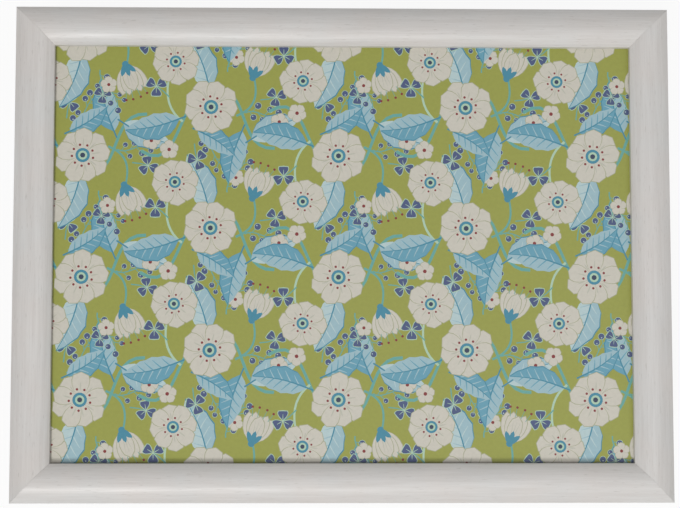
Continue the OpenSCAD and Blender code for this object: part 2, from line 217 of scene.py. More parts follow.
def printed_laminate():
    """The print's colours under a thin satin film. A dark line is painted along the front
    and left lips, in place of the deep shadow under them."""
    s = Shader("print_laminate", {"Specular IOR Level": 0.4})
    ink = s.add("Attribute", {}, attribute_name="print_colour").outputs["Color"]
    mottle = s.noise(s.place(), 420, 4, 0.6)
    shade = s.ramp(mottle, (0.3, (0.955, 0.955, 0.955, 1)), (0.7, (1.03, 1.03, 1.03, 1)))
    colour = s.mix(1.0, ink, shade, "MULTIPLY")
    x, y, _ = s.axes(s.place())
    # Painted shade: the print darkens towards the front and left lips, with a ragged inner edge,
    # where the lips' shadow falls
    ragged = s.math("MULTIPLY", s.noise(s.place(), 160, 3), 0.6 * MM)
    lip_x, lip_y = left_rail_hi.x, front_rail_hi.y
    front = s.levels(s.math("SUBTRACT", y, ragged), lip_y, lip_y + FRONT_PAINTED_SHADE, 0.75, 0.0)
    left = s.levels(s.math("SUBTRACT", x, ragged), lip_x, lip_x + LEFT_PAINTED_SHADE, 0.6, 0.0)
    line = s.math("MAXIMUM", front, left)
    colour = s.mix(line, colour, s.mix(1.0, colour, (0.16, 0.15, 0.16, 1), "MULTIPLY"))
    wear = s.noise(s.place(), 9, 3)
    rough = s.levels(wear, 0.3, 0.7, 0.34, 0.44)
    peel = s.noise(s.place(), 900, 2)
    return s.finish(colour=colour, roughness=rough, normal=s.bump(peel, 0.00002, 0.5))


def sheet_wood(name, dark, pale, grain_scale):
    """Thin plywood or hardboard, its grain along X."""
    s = Shader(name, {"Specular IOR Level": 0.3})
    grain = s.noise(s.place((0.06, 1, 1)), grain_scale, 5, 0.6, 0.6)
    fibre = s.noise(s.place((0.2, 1, 1)), grain_scale * 6, 3)
    colour = s.ramp(grain, (0.28, linear(dark)), (0.7, linear(pale)))
    colour = s.mix(s.levels(fibre, 0.3, 0.7, 0.0, 0.3), colour, linear(dark))
    return s.finish(colour=colour, roughness=s.levels(fibre, 0.2, 0.8, 0.6, 0.75),
                    normal=s.bump(fibre, 0.00005, 0.5))


def grey_card():
    """Grey-brown backing card with darker specks."""
    s = Shader("backing_card", {"Specular IOR Level": 0.2})
    fibre = s.noise(s.place((0.5, 1, 1)), 1500, 4, 0.7)
    cloud = s.noise(s.place(), 30, 3)
    colour = s.ramp(fibre, (0.3, linear((150, 141, 126))), (0.7, linear((178, 170, 154))))
    colour = s.mix(s.levels(cloud, 0.3, 0.7, 0.0, 0.25), colour, linear((192, 186, 172)))
    speck = s.noise(s.place(), 2600, 1)
    colour = s.mix(s.levels(speck, 0.2, 0.3, 0.5, 0.0), colour, linear((96, 88, 78)))
    return s.finish(colour=colour, roughness=s.levels(cloud, 0.3, 0.7, 0.85, 0.75),
                    normal=s.bump(fibre, 0.00006, 0.6))


def metal(name, dark, pale, low, high, brushed=(1, 1, 1)):
    """Bare or plated metal, with roughness that varies from low to high."""
    s = Shader(name, {"Metallic": 1.0})
    cloud = s.noise(s.place(), 160, 4, 0.6)
    brush = s.noise(s.place(brushed), 2400, 3, 0.6)
    colour = s.ramp(cloud, (0.3, linear(dark)), (0.7, linear(pale)))
    wear = s.math("ADD", s.math("MULTIPLY", cloud, 0.5), s.math("MULTIPLY", brush, 0.5))
    rough = s.levels(wear, 0.3, 0.7, low, high)
    return s.finish(colour=colour, roughness=rough, normal=s.bump(brush, 0.000015, 0.5))


def felt():
    """Grey felt, its nap brushed askew."""
    s = Shader("grey_felt", {"Sheen Weight": 0.35, "Sheen Roughness": 0.6,
                             "Specular IOR Level": 0.1})
    fibre = s.noise(s.place(), 1900, 5, 0.75, 1.6)
    tuft = s.noise(s.place(), 420, 4, 0.6, 0.7)
    cloud = s.noise(s.place(), 22, 3)
    colour = s.ramp(fibre, (0.28, linear((78, 83, 86))), (0.72, linear((136, 141, 143))))
    nap = s.noise(s.place((1, 0.5, 1), 0.4), 75, 5, 0.65, 1.2)
    colour = s.mix(s.levels(cloud, 0.3, 0.7, 0.0, 0.3), colour, linear((90, 96, 101)))
    colour = s.mix(s.levels(nap, 0.42, 0.62, 0.0, 0.4), colour, linear((128, 133, 136)))
    height = s.math("ADD", fibre, s.math("MULTIPLY", tuft, 1.4))
    return s.finish(colour=colour, roughness=s.levels(tuft, 0.3, 0.7, 0.95, 0.85),
                    normal=s.bump(height, 0.00045, 0.7))


def canvas(name, thread, dark, pale):
    """Plain-woven cotton of threads of the width given. Its UVs are metres of cloth."""
    s = Shader(name, {"Sheen Weight": 0.2, "Sheen Roughness": 0.5, "Specular IOR Level": 0.15})
    u, v, _ = s.axes(s.uv("cloth", (1, 1, 1)))
    across = s.math("SINE", s.math("MULTIPLY", u, math.pi / thread))
    along = s.math("SINE", s.math("MULTIPLY", v, math.pi / thread))
    weave = s.math("MULTIPLY", across, along)
    threads = s.math("ADD", s.math("ABSOLUTE", across), s.math("ABSOLUTE", along))
    slub_u = s.noise(s.uv("cloth", (1, 0.03, 1)), 1 / (thread * 1.6), 2)
    slub_v = s.noise(s.uv("cloth", (0.03, 1, 1)), 1 / (thread * 1.6), 2)
    slub = s.math("ADD", slub_u, slub_v)
    fleck = s.noise(s.uv("cloth", (1, 1, 1)), 900, 3, 0.7)
    colour = s.ramp(slub, (0.62, linear(dark)), (0.98, linear(pale)))
    colour = s.mix(s.levels(threads, 0.3, 1.6, 0.6, 0.0), colour, linear((140, 129, 110)))
    colour = s.mix(s.levels(fleck, 0.62, 0.72, 0.0, 0.3), colour, linear((146, 132, 112)))
    height = s.math("ADD", s.math("MULTIPLY", weave, 0.5), s.math("MULTIPLY", slub, 0.8))
    return s.finish(colour=colour, roughness=s.levels(fleck, 0.3, 0.7, 0.92, 0.82),
                    normal=s.bump(height, 0.00022, 0.6))


materials = {
    "wood_x": washed_wood("washed_wood_x", "X"),
    "wood_y": washed_wood("washed_wood_y", "Y"),
    "print": printed_laminate(),
    "hardboard": sheet_wood("hardboard", (84, 60, 40), (112, 84, 58), 60),
    "plywood": sheet_wood("plywood", (150, 118, 80), (190, 160, 116), 45),
    "card": grey_card(),
    "brass": metal("brass", (176, 152, 104), (200, 178, 132), 0.28, 0.44, (0.1, 1, 1)),
    "screw_brass": metal("screw_brass", (196, 178, 138), (216, 200, 164), 0.22, 0.36),
    "zinc": metal("zinc", (150, 150, 154), (184, 184, 188), 0.28, 0.46),
    "nickel": metal("nickel", (186, 184, 180), (206, 204, 200), 0.1, 0.2),
    "felt": felt(),
    "canvas": canvas("cotton_canvas", THREAD, (184, 174, 156), (206, 198, 182)),
    "piping": canvas("cotton_piping", PIPING_THREAD, (164, 153, 134), (190, 180, 161)),
}


# CAD nodes that keep their shape

WELD_GAP = 0.000002
EASE_STEPS = 2
SHARP = math.radians(35)


def dress(name, material, ease=0.0):
    """Gives a CAD node its finish and, where ease is set, rounds its sharp edges."""
    piece = nodes[name]
    piece.data.materials.clear()
    piece.data.materials.append(materials[material])
    if ease:
        weld = piece.modifiers.new("weld", "WELD")
        weld.merge_threshold = WELD_GAP
        bevel = piece.modifiers.new("ease", "BEVEL")
        bevel.width = ease
        bevel.segments = EASE_STEPS
        bevel.limit_method = "ANGLE"
        bevel.angle_limit = SHARP
        piece.modifiers.new("normals", "WEIGHTED_NORMAL").keep_sharp = False


for side in ("front", "back"):
    dress(f"lid_rail_{side}", "wood_x")
    dress(f"box_wall_{side}", "wood_x")
for side in ("left", "right"):
    dress(f"lid_rail_{side}", "wood_y")
    dress(f"box_wall_{side}", "wood_y")
    dress(f"hinge_lid_leaf_{side}", "brass", 0.15 * MM)
    dress(f"hinge_box_leaf_{side}", "brass", 0.15 * MM)
    dress(f"hinge_pin_{side}", "screw_brass", 0.2 * MM)
dress("print_board", "hardboard")
dress("backing_card", "card", 0.2 * MM)
dress("box_floor", "plywood")
for name in ("framer_points", "lid_corner_wedges", "box_corner_wedges", "floor_brads",
             "cushion_staples"):
    dress(name, "zinc")
dress("hinge_lid_screws", "screw_brass", 0.06 * MM)
dress("hinge_box_screws", "screw_brass", 0.06 * MM)
dress("catch_plates", "nickel", 0.15 * MM)
dress("catch_plate_screws", "zinc", 0.06 * MM)
dress("catch_magnets", "nickel", 0.25 * MM)


# Mesh helpers

def put_in_scene(name, data):
    piece = bpy.data.objects.new(name, data)
    bpy.context.scene.collection.objects.link(piece)
    return piece


def piece_from(name, vertices, faces, material):
    """A new smooth-shaded piece."""
    mesh = bpy.data.meshes.new(name)
    mesh.from_pydata(vertices, [], faces)
    mesh.materials.append(materials[material])
    mesh.shade_smooth()
    return put_in_scene(name, mesh)


def grid_faces(across, deep):
    """Quads on a grid of points, given row by row."""
    row = across + 1
    corners = (j * row + i for j in range(deep) for i in range(across))
    return [(a, a + 1, a + row + 1, a + row) for a in corners]


def cloth_uv(piece, places):
    """A UV map named cloth, from one place for each face corner, in metres of cloth."""
    layer = piece.data.uv_layers.new(name="cloth")
    for loop, place in zip(layer.data, places):
        loop.uv = place


def tube(path, radius, sides):
    """Vertices and faces of a tube round a closed path of points."""
    count = len(path)
    vertices = []
    for i, p in enumerate(path):
        ahead = (path[(i + 1) % count] - path[i - 1]).normalized()
        out = ahead.cross(Vector((0, 0, 1))).normalized()
        up = out.cross(ahead)
        for k in range(sides):
            a = 2 * math.pi * k / sides
            vertices.append(p + out * (radius * math.cos(a)) + up * (radius * math.sin(a)))
    faces = []
    for i in range(count):
        for k in range(sides):
            a, b = i * sides, (i + 1) % count * sides
            j = (k + 1) % sides
            faces.append((a + k, a + j, b + j, b + k))
    return vertices, faces


# The print: a generic floral pattern of daisies, tulips, leaves, trefoils and berries,
# laid out as a half-drop repeat. All of its sizes are millimetres.

INKS = {
    "ground": (153, 157, 74), "petal": (206, 202, 190), "petal_edge": (168, 170, 140),
    "petal_shade": (190, 190, 176), "red": (128, 50, 50), "sky": (158, 189, 198),
    "pale_sky": (184, 206, 208), "mid_blue": (104, 160, 180), "teal": (70, 137, 160),
    "stem": (104, 166, 158), "pale_stem": (176, 205, 180), "indigo": (73, 86, 124),
    "ink": (48, 60, 84)}
COLUMN, ROW = 86, 82
PRINT_SHIFT = (0, -20)
CURVE_STEPS = 12

# How near two points are one, how flat two triangles that become one are, in radians,
# and how near an edge is to the panel's outline
SAME_POINT = 0.0005
FLAT_ANGLE = 0.01
TILE_GRID = 0.002
CUT_GAP = 0.001
RIM_GAP = 0.003
RIM_LEAN = 0.01
shapes = []


def draw(colour, points):
    """Keeps a filled shape, its points counterclockwise. Later ones lie on top."""
    area = sum(a[0] * b[1] - b[0] * a[1] for a, b in zip(points, points[1:] + points[:1]))
    shapes.append((colour, points if area > 0 else points[::-1]))


def turned(points, origin, angle=0.0, flip=1, size=1.0):
    """Points mirrored across X where flip is -1, then scaled, turned and moved."""
    c, s = math.cos(angle) * size, math.sin(angle) * size
    return [(origin[0] + c * x - s * y * flip, origin[1] + s * x + c * y * flip)
            for x, y in points]


def disc(radius, count=10):
    return [(radius * math.cos(a), radius * math.sin(a))
            for a in (2 * math.pi * i / count for i in range(count))]


def petal(length, width, start=0.0, bulge=0.62, notch=0.0, steps=6):
    """A petal along +X from start, widest at the share bulge of its length, its tip cut
    in by the share notch."""
    side = []
    for i in range(1, steps):
        t = i / steps
        if t < bulge:
            w = math.sin(math.pi / 2 * t / bulge)
        else:
            w = math.sqrt(1 - ((t - bulge) / (1 - bulge)) ** 2)
        side.append((start + (length - start) * t, width / 2 * w))
    lower = [(x, -y) for x, y in side]
    return [(start, 0)] + lower + [(length * (1 - notch), 0)] + side[::-1]


def leaf_half(length, width, side, bend, steps=9):
    """One half of an oval leaf with a wavy edge, from its bent midrib outwards."""
    rib = [(length * i / steps, bend * math.sin(math.pi * i / steps)) for i in range(steps + 1)]
    edge = []
    for i in range(1, steps):
        t = i / steps
        w = width / 2 * math.sin(math.pi * t ** 0.85) ** 0.8 * (1 + 0.05 * math.cos(9 * math.pi * t))
        edge.append((rib[i][0], rib[i][1] + side * w))
    return rib + edge[::-1]


def ribbon(path, start_w, end_w):
    """A tapered band along a path."""
    left, right = [], []
    last = len(path) - 1
    for i, (x, y) in enumerate(path):
        ax, ay = path[max(0, i - 1)]
        bx, by = path[min(last, i + 1)]
        length = math.hypot(bx - ax, by - ay)
        w = (start_w + (end_w - start_w) * i / last) / 2
        dx, dy = (bx - ax) / length * w, (by - ay) / length * w
        left.append((x - dy, y + dx))
        right.append((x + dy, y - dx))
    return left + right[::-1]


def bezier(a, b, c, d):
    """Points of the curve from a to d that b and c pull on."""
    out = []
    for i in range(CURVE_STEPS + 1):
        t = i / CURVE_STEPS
        u = 1 - t
        weights = (u ** 3, 3 * u * u * t, 3 * u * t * t, t ** 3)
        out.append(tuple(sum(w * p[k] for w, p in zip(weights, (a, b, c, d))) for k in (0, 1)))
    return out


def daisy(origin, radius, turn, petals, seed):
    """Overlapping petals, every other one on top, round an eye with a ring of red dots."""
    dice = random.Random(seed)
    width = 1.7 * math.pi * radius / petals
    for i in [*range(0, petals, 2), *range(1, petals, 2)]:
        angle = turn + 2 * math.pi * i / petals + dice.uniform(-0.06, 0.06)
        length = radius * dice.uniform(0.94, 1.05)
        draw("petal_edge", turned(petal(length + 0.45, width + 0.9, 0, 0.66, 0.05), origin, angle))
        draw("petal", turned(petal(length, width, 0, 0.66, 0.05), origin, angle))
        vein = petal(length * 0.62, 0.9, radius * 0.3, 0.3, 0, 4)
        draw("petal_shade", turned(vein, origin, angle))
    draw("teal", turned(disc(radius * 0.25, 16), origin, turn))
    draw("pale_stem", turned(disc(radius * 0.16, 12), origin, turn))
    draw("ink", turned(disc(radius * 0.09, 8), origin, turn))
    for i in range(petals):
        a = turn + 2 * math.pi * (i + 0.5) / petals
        spot = (origin[0] + radius * 0.37 * math.cos(a), origin[1] + radius * 0.37 * math.sin(a))
        draw("red", turned(disc(radius * 0.045, 7), spot))


def tulip(origin, size, angle, flip):
    """A cup of pointed petals that opens along +X, with stamens above it."""
    def put(colour, points, lean=0.0, at=(0, 0)):
        draw(colour, turned(turned(points, at, lean), origin, angle, flip, size))

    for lean in (0.42, -0.42, 0.2, -0.2, 0):
        length = 0.9 if lean == 0 else 1.0
        put("petal_edge", petal(length + 0.03, 0.48, 0, 0.5), lean)
        put("petal", petal(length, 0.44, 0, 0.5), lean)
    for lean in (-0.16, 0.0, 0.16):
        put("petal_shade", ribbon([(0.25, 0), (0.5, 0), (0.72, 0)], 0.035, 0.01), lean)
    for lean in (-0.3, -0.1, 0.12, 0.31):
        put("stem", ribbon([(0.86, 0), (1.15, 0)], 0.018, 0.014), lean)
        put("red", disc(0.042, 8), 0, (1.17 * math.cos(lean), 1.17 * math.sin(lean)))
    for lean in (0.62, -0.62, 0.0):
        put("teal", petal(0.42, 0.17, -0.05, 0.35, 0, 5), lean)
    put("teal", disc(0.11, 10))


def oval_leaf(origin, length, angle, flip, young):
    """A leaf in two tones, with a midrib and side veins. A young one is paler."""
    width, bend = length * 0.46, length * 0.05
    dark, pale = ("sky", "pale_sky") if young else ("mid_blue", "sky")

    def put(colour, points):
        draw(colour, turned(points, origin, angle, flip))

    put("teal", leaf_half(length * 1.02, width * 1.08, 1, bend))
    put(dark, leaf_half(length, width, 1, bend))
    put(pale, leaf_half(length, width, -1, bend))
    for i in range(1, 6):
        t = i / 6.5
        x, y = length * t, bend * math.sin(math.pi * t)
        reach = width * 0.4 * math.sin(math.pi * (t + 0.08) ** 0.85) ** 0.8
        for side, tint in ((1, pale), (-1, dark)):
            vein = [(x, y), (x + reach * 0.5, y + side * reach * 0.62),
                    (x + reach * 0.75, y + side * reach * 0.98)]
            put(tint, ribbon(vein, 0.9, 0.3))
    rib = [(length * i / 8, bend * math.sin(math.pi * i / 8)) for i in range(-1, 9)]
    put("teal", ribbon(rib, 1.1, 0.4))


def trefoil(origin, size, angle, flip):
    """Three notched leaves on a short stem."""
    def put(colour, points, lean=0.0):
        draw(colour, turned(turned(points, (0, 0), lean), origin, angle, flip, size))

    leans = (0, 2 * math.pi / 3, -2 * math.pi / 3)
    put("stem", ribbon([(-1.5, 0.25), (-0.7, 0.05), (0, 0)], 0.12, 0.08))
    for lean in leans:
        put("pale_stem", petal(1.08, 0.98, -0.02, 0.68, 0.12), lean)
    for lean in leans:
        put("indigo", petal(1.0, 0.86, 0.08, 0.68, 0.14), lean)
        put("pale_stem", ribbon([(0.15, 0), (0.6, 0)], 0.07, 0.03), lean)


def berry_spray(origin, length, angle, flip, count, seed):
    """Berries on short stalks, left and right of a curved stem."""
    dice = random.Random(seed)
    spine = bezier((0, 0), (length * 0.3, length * 0.22), (length * 0.7, -length * 0.16),
                   (length, length * 0.04))

    def put(colour, points):
        draw(colour, turned(points, origin, angle, flip))

    put("stem", ribbon(spine, 0.9, 0.5))
    for i in range(count):
        x, y = spine[round(CURVE_STEPS * (i + 1) / count)]
        side = 0.2 if i == count - 1 else (-1) ** (i + 1)
        spot = (x + 2.2, y + side * dice.uniform(3.6, 4.8))
        size = dice.uniform(1.5, 2.2)
        elbow = ((x + spot[0]) / 2, y + (spot[1] - y) * 0.65)
        put("stem", ribbon([(x - 1.2, y), elbow, spot], 0.55, 0.4))
        put("pale_stem", turned(disc(size + 0.3, 12), spot))
        put("indigo", turned(disc(size, 12), spot))
        glint = (spot[0] - size * 0.3, spot[1] + size * 0.3)
        put("pale_sky", turned(disc(size * 0.22, 6), glint))


def small_flower(origin, radius, turn):
    """Five petals round a red eye."""
    for i in range(5):
        a = turn + 2 * math.pi * i / 5
        draw("petal_edge", turned(petal(radius + 0.35, radius * 0.98, 0, 0.6), origin, a))
        draw("petal", turned(petal(radius, radius * 0.88, 0, 0.6), origin, a))
    draw("red", turned(disc(radius * 0.2, 8), origin))


def spray(origin, flip, seed):
    """One repeat of the pattern, mirrored top to bottom where flip is -1."""
    def at(x, y):
        return (origin[0] + x, origin[1] + y * flip)

    def lean(degrees):
        return math.radians(degrees) * flip

    def stem(colour, points, start_w, end_w):
        draw(colour, ribbon([at(*p) for p in bezier(*points)], start_w, end_w))

    stem("stem", ((-50, -34), (-22, -52), (-28, 6), (0, 8)), 2.2, 1.7)
    stem("stem", ((0, 8), (24, 10), (14, -34), (40, -32)), 1.7, 2.2)
    stem("pale_stem", ((-22, -14), (-36, -4), (-34, 14), (-27, 27)), 1.6, 1.2)
    stem("stem", ((14, -10), (30, -4), (28, 8), (25, 20)), 1.6, 1.2)
    berry_spray(at(-12, -22), 30, lean(-52), flip, 8, seed)
    berry_spray(at(8, 20), 28, lean(62), flip, 8, seed + 1)
    berry_spray(at(20, -8), 24, lean(-8), flip, 7, seed + 4)
    oval_leaf(at(-24, -12), 37, lean(192), flip, False)
    oval_leaf(at(-4, 8), 40, lean(112), -flip, True)
    oval_leaf(at(18, -20), 36, lean(-104), -flip, False)
    oval_leaf(at(24, -26), 35, lean(24), flip, True)
    oval_leaf(at(-12, -20), 30, lean(-34), flip, False)
    trefoil(at(-40, 10), 7.6, lean(150), flip)
    trefoil(at(-12, -40), 7.4, lean(-70), flip)
    trefoil(at(41, 3), 7.2, lean(20), flip)
    trefoil(at(10, 37), 6.4, lean(95), flip)
    tulip(at(25, 16), 21, lean(70), flip)
    daisy(at(-27, 27), 16.5, lean(10), 8, seed + 2)
    daisy(at(-3, -4), 19.5, lean(35), 9, seed + 3)
    small_flower(at(-31, -33), 6.4, lean(20))
    small_flower(at(14, 30), 5.6, lean(50))
    small_flower(at(43, -14), 6.0, lean(0))


def print_tile():
    """One repeat of the print, two columns wide and cut into flat triangles: its points,
    and the corners and the ink of each triangle."""
    half_w, half_d = COLUMN, ROW / 2
    for i in range(-2, 4):
        for j in range(-2, 3):
            drop = ROW / 2 if i % 2 else 0
            spray((i * COLUMN, j * ROW + drop), 1 if i % 2 else -1, 10 * (i % 2))
    corners = [(-half_w, -half_d), (half_w, -half_d), (half_w, half_d), (-half_w, half_d)]
    inside = [("ground", corners)]
    for colour, points in shapes:
        if (max(p[0] for p in points) > -half_w and min(p[0] for p in points) < half_w
                and max(p[1] for p in points) > -half_d and min(p[1] for p in points) < half_d):
            inside.append((colour, points))
    vertices, outlines = [], []
    for _, points in inside:
        outlines.append(list(range(len(vertices), len(vertices) + len(points))))
        vertices.extend(Vector(p) for p in points)
    spots, _, triangles, _, _, owners = delaunay_2d_cdt(vertices, [], outlines, 1, SAME_POINT)
    names = list(INKS)
    mesh = bmesh.new()
    placed = [mesh.verts.new((*p, 0)) for p in spots]
    for triangle, owner in zip(triangles, owners):
        if 0 in owner:
            face = mesh.faces.new([placed[i] for i in triangle])
            face.material_index = names.index(inside[max(owner)][0])
    mesh.normal_update()
    bmesh.ops.dissolve_limit(mesh, angle_limit=FLAT_ANGLE, edges=mesh.edges,
                             verts=[v for v in mesh.verts if not v.is_boundary],
                             delimit={"MATERIAL"})
    bmesh.ops.triangulate(mesh, faces=mesh.faces)
    mesh.verts.index_update()
    flat = [v.co.xy for v in mesh.verts]
    faces = [([v.index for v in face.verts], names[face.material_index])
             for face in mesh.faces]
    mesh.free()
    return flat, faces


def lay_tiles(mesh, half_w, half_d):
    """Lays repeats of the print over the panel's top. Their shared points are joined."""
    flat, faces = print_tile()
    tint = mesh.loops.layers.float_color.new("print_colour")
    inks = {name: linear(colour) for name, colour in INKS.items()}
    placed = {}
    for i in range(-2, 3):
        for j in range(-4, 4):
            corner = Vector((i * 2 * COLUMN + PRINT_SHIFT[0], j * ROW + PRINT_SHIFT[1]))
            for triangle, ink in faces:
                spots = [flat[k] + corner for k in triangle]
                if (min(abs(p.x) for p in spots) > half_w
                        or min(abs(p.y) for p in spots) > half_d):
                    continue
                keys = [(round(p.x / TILE_GRID), round(p.y / TILE_GRID)) for p in spots]
                if len(set(keys)) < 3:
                    continue
                for key, p in zip(keys, spots):
                    if key not in placed:
                        placed[key] = mesh.verts.new((p.x * MM, p.y * MM, print_hi.z))
                corners = [placed[key] for key in keys]
                if mesh.faces.get(corners) is None:
                    face = mesh.faces.new(corners)
                    for loop in face.loops:
                        loop[tint] = inks[ink]


def trim_to_panel(mesh, half_w, half_d):
    """Cuts off what stands past the panel and returns the edges of its outline."""
    for place, out in (((half_w, 0, 0), (1, 0, 0)), ((-half_w, 0, 0), (-1, 0, 0)),
                       ((0, half_d, 0), (0, 1, 0)), ((0, -half_d, 0), (0, -1, 0))):
        everything = mesh.verts[:] + mesh.edges[:] + mesh.faces[:]
        bmesh.ops.bisect_plane(mesh, geom=everything, plane_co=Vector(place) * MM,
                               plane_no=out, clear_outer=True, dist=CUT_GAP * MM)
    rim = []
    for edge in mesh.edges:
        a, b = (v.co / MM for v in edge.verts)
        on_x = min(abs(a.x), abs(b.x)) > half_w - RIM_GAP and abs(a.x - b.x) < RIM_LEAN
        on_y = min(abs(a.y), abs(b.y)) > half_d - RIM_GAP and abs(a.y - b.y) < RIM_LEAN
        if len(edge.link_faces) == 1 and (on_x or on_y):
            rim.append(edge)
    return rim


def print_panel():
    """The laminate sheet, a closed slab with its top laid out in flat facets of ink."""
    half_w, half_d = print_hi.x / MM, print_hi.y / MM
    mesh = bmesh.new()
    lay_tiles(mesh, half_w, half_d)
    rim = trim_to_panel(mesh, half_w, half_d)
    lower = bmesh.ops.extrude_edge_only(mesh, edges=rim)["geom"]
    for point in [g for g in lower if isinstance(g, bmesh.types.BMVert)]:
        point.co.z = print_lo.z
    middle = mesh.verts.new((0, 0, print_lo.z))
    mid_z = (print_lo.z + print_hi.z) / 2
    for edge in [g for g in lower if isinstance(g, bmesh.types.BMEdge)]:
        if all(v.co.z < mid_z for v in edge.verts) and len(edge.link_faces) == 1:
            mesh.faces.new((*edge.verts, middle))
    bmesh.ops.recalc_face_normals(mesh, faces=mesh.faces)
    data = bpy.data.meshes.new("print_panel")
    mesh.to_mesh(data)
    mesh.free()
    data.materials.append(materials["print"])
    piece = put_in_scene("print_panel", data)
    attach(piece, "lid")
    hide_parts("print_sheet")


print_panel()


# Felt: the lining on the floor and the pads under the lid

LINING_GRID = (100, 74)
LINING_RAGGED = 0.35 * MM
LINING_UNEVEN = 0.12 * MM
LINING_RIM_DROP = 0.3 * MM
LINING_SPARE = 0.4 * MM
PAD_SIDES = 28
PAD_FUZZ = 0.06 * MM


def felt_lining():
    """A sheet of felt with a slightly uneven surface and edge."""
    steps_x, steps_y = LINING_GRID
    dice = random.Random(5)
    vertices = []
    for j in range(steps_y + 1):
        for i in range(steps_x + 1):
            x = lining_lo.x + (lining_hi.x - lining_lo.x) * i / steps_x
            y = lining_lo.y + (lining_hi.y - lining_lo.y) * j / steps_y
            rim = i in (0, steps_x) or j in (0, steps_y)
            pull = dice.uniform(0, 1) * LINING_RAGGED if rim else 0
            x -= math.copysign(pull, x)
            y -= math.copysign(pull, y)
            z = lining_hi.z - dice.uniform(0, 1) * LINING_UNEVEN - (LINING_RIM_DROP if rim else 0)
            vertices.append((x, y, z))
    piece = piece_from("felt_sheet", vertices, grid_faces(steps_x, steps_y), "felt")
    body = piece.modifiers.new("thickness", "SOLIDIFY")
    body.thickness = lining_hi.z - lining_lo.z - LINING_SPARE
    body.offset = -1
    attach(piece, "box")
    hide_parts("felt_lining")


def felt_pads():
    """Four round felt pads on the top edge of the box, each with a soft rim."""
    count = PAD_SIDES
    low, high = pads_lo.z, pads_hi.z
    wall_mid = (wall_lo.x + wall_hi.x) / 2
    radius = pads_hi.x + wall_mid
    profile = [(0.0, low), (radius * 0.9, low), (radius, low + 0.35 * MM),
               (radius, high - 0.7 * MM), (radius - 0.2 * MM, high - 0.25 * MM),
               (radius - 0.7 * MM, high), (0.0, high - 0.1 * MM)]
    dice = random.Random(8)
    vertices, faces = [], []
    for sx in (-1, 1):
        for sy in (-1, 1):
            centre = (-sx * wall_mid, sy * (pads_hi.y - radius))
            base = len(vertices)
            for r, z in profile[1:-1]:
                for k in range(count):
                    a = 2 * math.pi * k / count
                    fuzz = dice.uniform(-1, 0) * PAD_FUZZ
                    vertices.append((centre[0] + (r + fuzz) * math.cos(a),
                                     centre[1] + (r + fuzz) * math.sin(a), z))
            rings = len(profile) - 2
            for j in range(rings - 1):
                for k in range(count):
                    a, b = base + j * count + k, base + j * count + (k + 1) % count
                    faces.append((a, b, b + count, a + count))
            for j, (_, z) in ((0, profile[0]), (rings - 1, profile[-1])):
                tip = len(vertices)
                vertices.append((*centre, z))
                for k in range(count):
                    a, b = base + j * count + k, base + j * count + (k + 1) % count
                    faces.append((tip, b, a) if j == 0 else (tip, a, b))
    piece = piece_from("felt_pad_set", vertices, faces, "felt")
    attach(piece, "box")
    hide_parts("felt_pads")


felt_lining()
felt_pads()


# Cushion: two panels of canvas sewn to a piping and stuffed, tucked in under the box.
# The top outline's half width, half depth and corners, then how far the side swells out,
# the long edges draw in, the top tucks under and the form is made too small to be stuffed.

TOP_A = 196 * MM
TOP_B = 142 * MM
CORNER = 42 * MM
SWELL = 9 * MM
DRAW_IN = 4 * MM
TUCK = 3 * MM
SHRINK = 1.2 * MM
SEAM_OUT = 0.45 * SWELL
SEAM_IN = 0.8 * MM
WELT_Z = 15 * MM
WELT_R = 2.2 * MM
WELT_SIDES = 12
WELT_STEPS = (200, 150)
PANEL_GRID = (92, 68)
SIDE_ROWS = 11
CLOTH_SPARE = 0.05
CLOTH_CAP = 5 * MM
CLOTH_JITTER = 0.25 * MM
CLOTH_FRAMES = 20
LOW_PUCKER = 2.0 * MM
HIGH_PUCKER = 2.6 * MM


def rounded(a, b, r, grow, counts):
    """Four sides of a rounded rectangle, each from one corner's middle to the next."""
    a, b, r = a + grow, b + grow, r + grow
    sides = []
    for k, (half, out) in enumerate(((a, b), (b, a), (a, b), (b, a))):
        straight = half - r
        reach = straight + math.pi / 4 * r
        side = []
        for i in range(counts[k % 2] + 1):
            d = (2 * i / counts[k % 2] - 1) * reach
            turn = max(0.0, abs(d) - straight) / r
            along = math.copysign(min(abs(d), straight) + r * math.sin(turn), d)
            up = out - r + r * math.cos(turn)
            x, y = along, -up
            for _ in range(k):
                x, y = -y, x
            ease_x = max(0.0, min(1.0, (abs(x) - a + r) / r))
            ease_y = max(0.0, min(1.0, (abs(y) - b + r) / r))
            in_x = DRAW_IN * max(0.0, 1 - abs(y) / b) ** 0.7 * ease_x
            in_y = DRAW_IN * max(0.0, 1 - abs(x) / a) ** 0.7 * ease_y
            side.append(Vector((x - math.copysign(in_x, x), y - math.copysign(in_y, y), 0)))
        sides.append(side)
    return sides


def closed(sides):
    """Sides joined to one closed path."""
    return [p for side in sides for p in side[:-1]]


def patch(sides, counts):
    """Grid points inside four sides, as rows from the front to the back."""
    front, right, back, left = sides
    nx, ny = counts
    rows = []
    for j in range(ny + 1):
        v = j / ny
        row = []
        for i in range(nx + 1):
            u = i / nx
            across = left[ny - j] * (1 - u) + right[j] * u
            along = front[i] * (1 - v) + back[nx - i] * v
            corners = (front[0] * (1 - u) + front[nx] * u) * (1 - v)
            corners += (back[nx] * (1 - u) + back[0] * u) * v
            row.append(across + along - corners)
        rows.append(row)
    return rows


def rim_of(counts):
    """Grid places (i, j) round the rim, in the order of closed()."""
    nx, ny = counts
    return ([(i, 0) for i in range(nx)] + [(nx, j) for j in range(ny)]
            + [(i, ny) for i in range(nx, 0, -1)] + [(0, j) for j in range(ny, 0, -1)])


